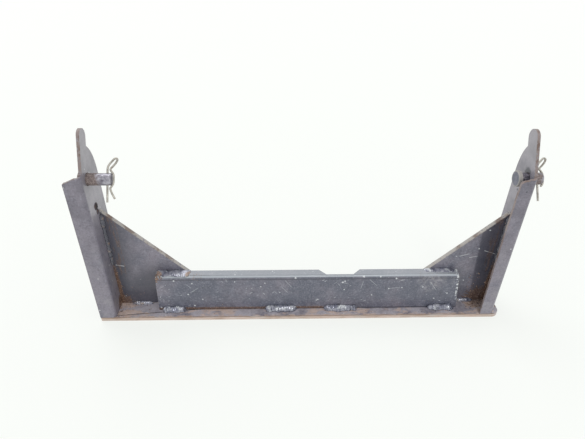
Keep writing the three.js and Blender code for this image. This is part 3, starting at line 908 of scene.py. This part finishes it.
def lay_bead(node, start, end, leg_a, leg_b, material, seed):
    """A rippled bead from start to end. leg_a and leg_b are the fillet's legs as vectors."""
    start, end, leg_a, leg_b = Vector(start), Vector(end), Vector(leg_a), Vector(leg_b)
    along = (end - start).normalized()
    length = (end - start).length
    steps = max(6, round(length / BEAD_STEP))
    size = bead_size(0, length, seed)
    trail = BEAD_TRAIL * min(leg_a.length, leg_b.length)

    work = bmesh.new()
    ring = [work.verts.new(start)]
    for i in range(BEAD_FACE_POINTS):
        share = i / (BEAD_FACE_POINTS - 1)
        swell = 1 + BEAD_BULGE * math.sin(math.pi * share)
        arm = (leg_a * (1 - share) + leg_b * share) * swell
        arm = arm - along * trail * math.sin(math.pi * share)
        ring.append(work.verts.new(start + arm * size))
    face = work.faces.new(ring)
    for i in range(1, steps + 1):
        grown = bead_size(length * i / steps, length, seed)
        made = bmesh.ops.extrude_face_region(work, geom=[face])["geom"]
        face = next(g for g in made if isinstance(g, bmesh.types.BMFace))
        verts = [g for g in made if isinstance(g, bmesh.types.BMVert)]
        bmesh.ops.translate(work, verts=verts, vec=along * (length / steps))
        corner = start + along * (length * i / steps)
        pivot = Matrix.Translation(-corner)
        bmesh.ops.scale(work, verts=verts, vec=(grown / size,) * 3, space=pivot)
        size = grown
    empty = [f for f in work.faces if f.calc_area() < NO_AREA]
    bmesh.ops.delete(work, geom=empty, context="FACES")
    bmesh.ops.recalc_face_normals(work, faces=work.faces)
    for vert in work.verts:
        lump = noise.noise(vert.co * 300 + Vector((seed, 0, 0)))
        swell = noise.noise(vert.co * 120 + Vector((0, seed, 0)))
        vert.co += vert.normal * (LUMP_HEIGHT * lump + SWELL_HEIGHT * swell) * MM
    layer = work.verts.layers.float.new("wear")
    for vert in work.verts:
        vert[layer] = 0.0
    for face in work.faces:
        face.smooth = len(face.verts) == 4
    return publish(work, node + "_bead", material, "frame", "weld", node)


print("a ripple every", round(RIPPLE / MM, 1), "mm")

# %% [markdown]
# ## Paint on a bead
#
# A bead is round and lumpy, so its glossy paint shows many small highlights, and pale
# patches in its colour are painted highlights among them. The beads at the gussets have rusted
# in patches, and those beside the webs are painted dark as shade in the corner. A bead can
# also be given rust at its ends, where it started and stopped.

# %% Bead paint
BEAD_BLUE = (0.15, 0.155, 0.215)
BEAD_PALE = (0.42, 0.42, 0.48)
BEAD_BUMP = 0.2 * MM
BEAD_COAT = 0.8
BEAD_METAL = 0.35


def bead_paint(name, rust_ends=(), rust_all=0.0, dark=0.0):
    """Glossy paint over a bead, with rust at the given ends as (point, radius)."""
    finish = Finish(name)
    mottle = finish.grain(0.010, detail=4, roughness=0.6)
    color = finish.mix(BEAD_BLUE, BEAD_PALE, mottle.rise(0.38, 0.70))
    fine = finish.grain(0.0016, detail=3)
    # Pale patches are painted highlights.
    painted_glints = finish.grain(0.009, detail=3).rise(0.52, 0.68)
    color = finish.mix(color, CHIP_GREY, painted_glints * 0.7)
    deep = finish.grain(0.011, detail=3).fall(0.34, 0.46)
    # The dark amount is painted shade, for beads that sit in a shaded corner.
    color = finish.mix(color, SLATE_DEEP, deep * 0.5 | dark)
    rust = finish.grain(0.009, detail=5, roughness=0.7)
    rust = rust.rise(0.68 - 0.3 * rust_all, 0.76 - 0.3 * rust_all)
    for point, radius in rust_ends:
        rust = rust | ragged_patch(finish, finish.near(point, radius), size=0.003, bite=0.7)
    tone = finish.mix(RUST_BROWN, RUST_TAN, fine.rise(0.35, 0.7))
    tone = finish.mix(tone, RUST_ORANGE, mottle.rise(0.56, 0.7) * 0.5)
    color = finish.mix(color, tone, rust * 0.85)
    rough = 0.13 + 0.12 * mottle + 0.5 * rust
    height = fine * 0.3 + rust * 0.4
    metallic = BEAD_METAL * (1 - rust)
    return finish.surface(
        color, rough, metallic, bump=height, bump_depth=BEAD_BUMP, coat=BEAD_COAT
    )


plain_bead = bead_paint("bead_paint")
rusty_bead = bead_paint("bead_paint_rusty", rust_all=0.45)
# The beads in the shaded corners beside the webs are painted dark, as painted shade.
shaded_bead = bead_paint("bead_paint_shaded", rust_all=0.3, dark=0.9)
print("bead paints:", [paint.name for paint in (plain_bead, rusty_bead, shaded_bead)])

# %% [markdown]
# ## The beads in front
#
# Each bead takes its corner and its length from the CAD bead that it stands for. The legs
# are a little longer or shorter than the CAD ones, because a bead that has run is wider on
# one plate than on the other.

# %% Beads in front
FOOT_REACH = 1.35
FOOT_RISE = 1.25
LIP_REACH = {"left": 1.4, "right": 0.85}
LIP_RISE = 0.55


def corner_bead(node, forward, up, material, seed):
    """A bead along X in a corner that opens forwards and upwards."""
    low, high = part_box(node)
    corner_y = high.y
    start = (low.x, corner_y, low.z)
    end = (high.x, corner_y, low.z)
    return lay_bead(node, start, end, (0, -forward, 0), (0, 0, up), material, seed)


for i in range(1, 5):
    node = "weld_crossbar_foot_" + str(i)
    low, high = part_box(node)
    reach = FOOT_REACH * (high.y - low.y)
    corner_bead(node, reach, FOOT_RISE * (high.z - low.z), plain_bead, 3.7 * i)

for side, seed in (("left", 21.5), ("right", 34.1)):
    node = "weld_lip_" + side
    low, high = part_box(node)
    ends = [((low.x, low.y, low.z), 0.014), ((high.x, low.y, low.z), 0.012)]
    paint = bead_paint(node + "_paint", ends if side == "left" else [])
    reach = LIP_REACH[side] * (high.y - low.y)
    corner_bead(node, reach, LIP_RISE * (high.z - low.z), paint, seed)

for side, seed in (("left", 41.3), ("right", 55.9)):
    node = "weld_" + side + "_gusset_foot"
    low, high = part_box(node)
    corner_bead(node, high.y - low.y, high.z - low.z, rusty_bead, seed)

# %% [markdown]
# ## The beads behind, beside and outside
#
# The gussets are also welded along their back and up beside each web, and each bracket has a
# bead outside its foot. These lie in corners that open other ways, so each gives its own two
# legs.

# %% Beads behind the gussets, beside them and outside the brackets
for side, seed in (("left", 61.7), ("right", 73.2)):
    node = "weld_" + side + "_gusset_rear"
    low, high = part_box(node)
    lay_bead(
        node,
        (high.x, low.y, low.z),
        (low.x, low.y, low.z),
        (0, high.y - low.y, 0),
        (0, 0, high.z - low.z),
        rusty_bead,
        seed,
    )

for side, toward, seed in (("left", 1, 81.4), ("right", -1, 92.6)):
    node = "weld_" + side + "_gusset_side"
    low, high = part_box(node)
    web = low.x if toward > 0 else high.x
    lay_bead(
        node,
        (web, high.y, low.z),
        (web, high.y, high.z),
        (toward * (high.x - low.x), 0, 0),
        (0, low.y - high.y, 0),
        shaded_bead,
        seed,
    )

for side, toward, seed in (("left", -1, 101.9), ("right", 1, 112.3)):
    node = "weld_" + side + "_bracket_foot"
    low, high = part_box(node)
    web = high.x if toward < 0 else low.x
    lay_bead(
        node,
        (web, low.y, low.z),
        (web, high.y, low.z),
        (toward * (high.x - low.x), 0, 0),
        (0, 0, high.z - low.z),
        plain_bead,
        seed,
    )

# %% [markdown]
# ## Weld spatter and a burn pit
#
# Welding throws droplets that freeze onto the steel around the joint. Each is a tiny ball
# that is half sunk into its surface, so eighty faces are enough. They gather in the right
# corner, where rust has made them brown. The burn pit on the left web is a small crater with
# a gob of weld metal under it: a ball pressed flat against the web, and its middle pushed in.

# %% Spatter
random.seed(7)
DROP_SIZES = (0.45, 1.35)
DROP_STRETCH = (0.8, 1.2)
above_base = base_top + 0.004
# Each row is a patch's lowest and highest corner, how many drops, and their mean radius in mm.
SPATTER = [
    ((right_web - 0.045, -0.024, base_top), (right_web - 0.001, gusset_face, base_top), 42, 0.8),
    ((right_web - 0.040, gusset_face, above_base), (right_web - 0.002, gusset_face, 0.075), 46, 0.8),
    ((right_web, -0.028, above_base), (right_web, gusset_face, 0.060), 20, 0.7),
    ((left_web, -0.026, base_top), (left_web + 0.060, gusset_face, base_top), 26, 0.8),
    ((left_web + 0.002, gusset_face, above_base), (left_web + 0.05, gusset_face, 0.05), 14, 0.7),
    ((-0.26, bar_low.y - 0.012, base_top), (0.27, bar_low.y - 0.006, base_top), 46, 0.6),
    ((-0.27, bar_low.y, base_top + 0.006), (0.275, bar_low.y, base_top + 0.02), 30, 0.5),
]


def throw_spatter():
    work = bmesh.new()
    for low, high, count, mean in SPATTER:
        for _ in range(count):
            place = Vector([random.uniform(a, b) for a, b in zip(low, high)])
            radius = mean * MM * random.uniform(*DROP_SIZES)
            stretch = Matrix.Diagonal((*[random.uniform(*DROP_STRETCH) for _ in range(3)], 1))
            here = Matrix.Translation(place) @ stretch
            bmesh.ops.create_icosphere(work, subdivisions=2, radius=radius, matrix=here)
    for face in work.faces:
        face.smooth = True
    finish = Finish("spatter_metal")
    tone = finish.mix(RUST_BROWN, RUST_TAN, finish.grain(0.006, detail=3).rise(0.4, 0.62))
    tone = finish.mix(tone, SLATE_CHALKY, finish.grain(0.02).rise(0.5, 0.6) * 0.6)
    material = finish.surface(tone, 0.5 + 0.2 * finish.grain(0.004))
    return publish(work, "weld_spatter", material, "frame", "weld")


throw_spatter()

# %% Burn pit
PIT_RADIUS = 6.2 * MM
GOB_RADIUS = 4.8 * MM
GOB_OFFSET = Vector((0, 2 * MM, -11 * MM))
PIT_PRESS = (0.35, 0.95, 1.0)
PIT_LUMP = 0.9 * MM
HOLE_RADIUS = 6.5 * MM
BURNT_BLACK = (0.012, 0.012, 0.014)
BURNT_BUMP = 0.5 * MM


def burn_pit():
    work = bmesh.new()
    pit = Vector(PIT_POINT)
    spots = [(pit, PIT_RADIUS), (pit + GOB_OFFSET, GOB_RADIUS)]
    for spot, radius in spots:
        made = bmesh.ops.create_uvsphere(work, u_segments=28, v_segments=18, radius=radius)
        verts = made["verts"]
        bmesh.ops.scale(work, verts=verts, vec=PIT_PRESS)
        for vert in verts:
            lump = noise.noise(vert.co * 420 + spot * 90)
            vert.co += vert.co.normalized() * lump * PIT_LUMP
            reach = Vector((0, vert.co.y, vert.co.z)).length / radius
            vert.co.x *= min(1, 0.15 + reach * 1.6)
        bmesh.ops.translate(work, verts=verts, vec=spot)
    for face in work.faces:
        face.smooth = True
    finish = Finish("burnt_metal")
    hole = finish.near(PIT_POINT, HOLE_RADIUS, ragged=0.3, size=0.003)
    tone = finish.mix(SLATE_DEEP, RUST_BROWN, finish.grain(0.003, detail=4).rise(0.4, 0.6))
    tone = finish.mix(tone, BURNT_BLACK, hole)
    rough = 0.7 + 0.2 * finish.grain(0.003)
    pores = finish.grain(0.0015)
    material = finish.surface(tone, rough, bump=pores, bump_depth=BURNT_BUMP)
    return publish(work, "burn_pit", material, "frame", "weld")


burn_pit()

# %% [markdown]
# ## Headed pins
#
# A pin is turned from bar and its head is upset, so it is round and smooth. The copy of the
# engineering pin already has its cross hole, so only its rims are rounded. Its end faces get
# a narrow inset rim, which keeps the wear at the edge. Sliding in and out has polished the
# free end, and the part near the bracket has rusted brown. The head of the right pin carries
# the same slate paint as the frame.

# %% Pin metal
PIN_DARK = (0.16, 0.15, 0.19)
PIN_BRIGHT = (0.46, 0.45, 0.50)
PIN_BROWN = (0.12, 0.092, 0.09)
PIN_TAN = (0.31, 0.25, 0.235)
HEAD_VIOLET = (0.15, 0.145, 0.19)
PIN_METAL = 0.75
PIN_BUMP = 0.15 * MM
HEAD_LENGTH = 0.0062
PAINTED_ROUGHNESS = 0.36


def pin_metal(name, rust_from, rust_to, painted_head_x=None):
    """rust_from and rust_to are the x where the rust is full and where it ends."""
    finish = Finish(name)
    rings = finish.grain(0.0018, detail=3, where=finish.stretched(1, 0.12, 0.12))
    patches = finish.grain(0.009, detail=5, roughness=0.65)
    steel = finish.mix(PIN_DARK, PIN_BRIGHT, patches.rise(0.35, 0.68))
    settled = (finish.x - rust_from) / (rust_to - rust_from)
    rust = (settled + (patches - 0.5) * 1.3).fall(0.55, 0.95)
    speckle = finish.grain(0.002, detail=4, roughness=0.7)
    brown = finish.mix(PIN_BROWN, PIN_TAN, speckle.rise(0.4, 0.65))
    color = finish.mix(steel, brown, rust)
    metallic = PIN_METAL * (1 - rust)
    rough = 0.30 + 0.4 * rust + 0.1 * rings
    if painted_head_x is not None:
        head = finish.x.fall(painted_head_x, painted_head_x + 0.0008)
        wear = finish.attribute("wear")
        paint = finish.mix(SLATE, HEAD_VIOLET, patches.rise(0.4, 0.6))
        paint = finish.mix(paint, CUT_STEEL, wear * 0.75)
        color = finish.mix(color, paint, head)
        inboard = finish.x.fall(right_web + 0.004, right_web + 0.007) * (1 - head)
        flaked = finish.grain(0.006, detail=5, roughness=0.7)
        shank = finish.mix(SLATE_DEEP, SLATE_CHALKY, flaked.rise(0.45, 0.6))
        color = finish.mix(color, shank, inboard * 0.95)
        covered = head | inboard
        metallic = metallic * (1 - covered)
        rough = rough * (1 - covered) + covered * PAINTED_ROUGHNESS
    height = rings * 0.25 + speckle * rust * 0.7
    return finish.surface(color, rough, metallic, bump=height, bump_depth=PIN_BUMP)


right_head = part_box("right_pin")[0].x + HEAD_LENGTH
left_metal = pin_metal("left_pin_metal", left_web, left_web + 0.024)
right_metal = pin_metal(
    "right_pin_metal", right_web - 0.004, right_web + 0.030, painted_head_x=right_head
)
print("pin metals:", left_metal.name, "and", right_metal.name)

# %% Pins
PIN_ROUND = 0.35 * MM
PIN_RIM = 1.6 * MM
PIN_END_CORNERS = 24


def finish_pin(side, material):
    work, layer = merged_copy(side + "_pin")
    for face in round_edges(work, PIN_ROUND):
        for vert in face.verts:
            vert[layer] = 1.0
    ends = [f for f in work.faces if len(f.verts) > PIN_END_CORNERS]
    bmesh.ops.inset_individual(work, faces=ends, thickness=PIN_RIM, use_even_offset=False)
    for face in ends:
        for vert in face.verts:
            vert[layer] = 0.0
    for face in work.faces:
        face.smooth = True
    name, body = side + "_headed_pin", side + "_pin_body"
    return publish(work, name, material, body, "pin_steel", side + "_pin")


finish_pin("left", left_metal)
finish_pin("right", right_metal)

# %% [markdown]
# ## Spring clips
#
# A spring clip is one length of zinc-plated wire. Its straight leg goes through the pin, a
# long loop springs, and the other leg snaps over the pin's end and pinches in below it. A
# bevelled curve is the natural way to make wire: the points say where it bends, and the
# smooth handles between them stay as round as a bending jig would leave them. The points
# are laid out flat, across from the cross hole and up along the leg, and then stood up along
# the direction in which the clip pulls out.

# %% Zinc wire
ZINC_DULL = (0.30, 0.28, 0.25)
ZINC_PALE = (0.55, 0.52, 0.47)
ZINC_RUST = (0.20, 0.13, 0.09)
ZINC_METAL = 0.55
ZINC_BUMP = 0.08 * MM


def zinc_wire():
    finish = Finish("zinc_wire")
    patches = finish.grain(0.006, detail=5, roughness=0.65)
    color = finish.mix(ZINC_DULL, ZINC_PALE, patches.rise(0.35, 0.65))
    fine = finish.grain(0.0015, detail=3)
    rust = finish.grain(0.011, detail=4, roughness=0.7).rise(0.58, 0.68)
    color = finish.mix(color, ZINC_RUST, rust * 0.6)
    rough = 0.42 + 0.2 * patches + 0.2 * rust
    metallic = ZINC_METAL * (1 - rust)
    return finish.surface(color, rough, metallic, bump=fine, bump_depth=ZINC_BUMP)


clip_finish = zinc_wire()
print("clips are", clip_finish.name)

# %% Clips
# Both routes are across from the straight leg, and up from the pin's axis, in mm.
CLIP_BACK = [
    (0, -35.6), (0, -20), (0, -4), (0, 13), (0.4, 18.0), (2.6, 22.8), (7.6, 28.6),
    (11.8, 32.2), (14.6, 31.4), (13.6, 27.0), (8.2, 20.0), (4.9, 16.4), (4.6, 14.2),
    (6.6, 11.6), (8.9, 7.5), (9.2, 2),
]
CLIP_TIPS = {
    "left": [(8.9, -6), (6.2, -11.2), (4.4, -13.8), (5.0, -17), (11.4, -30.2)],
    "right": [(9.0, -5), (7.6, -9.9), (5.2, -12.4)],
}
WIRE_RADIUS = 1.6 * MM
WIRE_ROUNDNESS = 4
WIRE_STEPS = 8


def bend_clip(side, material):
    """The clip of one pin, bent from wire and stood along its pull direction."""
    node = side + "_clip"
    joint = next(j for j in frame["joints"] if j["name"] == side + "_clip_pull")
    leg = Vector(joint["axis"]).normalized()
    pin_low, pin_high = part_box(side + "_pin")
    hole = (pin_low + pin_high) / 2
    hole.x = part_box(node)[0].x + WIRE_RADIUS
    wire = bpy.data.curves.new(node + "_wire", "CURVE")
    wire.dimensions = "3D"
    wire.bevel_depth = WIRE_RADIUS
    wire.bevel_resolution = WIRE_ROUNDNESS
    wire.resolution_u = WIRE_STEPS
    wire.use_fill_caps = True
    spline = wire.splines.new("BEZIER")
    route = CLIP_BACK + CLIP_TIPS[side]
    spline.bezier_points.add(len(route) - 1)
    for point, (across_mm, up_mm) in zip(spline.bezier_points, route):
        point.co = hole + Vector((across_mm * MM, 0, 0)) + leg * (up_mm * MM)
        point.handle_left_type = "AUTO"
        point.handle_right_type = "AUTO"
    bent = bpy.data.objects.new(node + "_bent", wire)
    bpy.context.scene.collection.objects.link(bent)
    bpy.context.view_layer.update()
    work = bmesh.new()
    work.from_mesh(bpy.data.meshes.new_from_object(bent))
    bpy.data.objects.remove(bent)
    bmesh.ops.remove_doubles(work, verts=work.verts, dist=MERGE)
    bmesh.ops.recalc_face_normals(work, faces=work.faces)
    for face in work.faces:
        face.smooth = len(face.verts) == 4
    return publish(work, side + "_spring_clip", material, side + "_clip_body", "zinc_wire", node)


for side in ("left", "right"):
    bend_clip(side, clip_finish)

# %% [markdown] ## Closing
